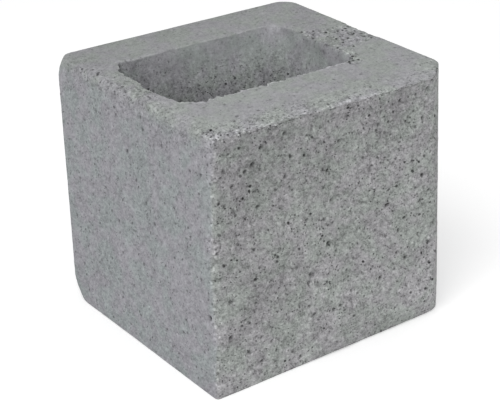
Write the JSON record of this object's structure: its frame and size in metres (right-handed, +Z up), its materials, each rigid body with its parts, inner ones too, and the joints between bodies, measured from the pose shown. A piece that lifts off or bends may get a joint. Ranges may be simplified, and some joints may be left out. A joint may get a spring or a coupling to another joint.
{
  "type": "split-face concrete block",
  "caption": "Half-length hollow concrete wall block, grey, with one tapered core from bed to bed and one rough split face.",
  "frame": {"origin": "middle of the length and depth, on the lower bed the block stands on", "axes": "+X along the wall towards the rounded end, the split face looks towards -Y, +Z up"},
  "size_m": [0.2, 0.206, 0.19],
  "materials": {
    "concrete": "cast and split concrete, matt, open-textured, light neutral grey"
  },
  "bodies": {
    "root": {"block": "concrete"}
  },
  "joints": []
}
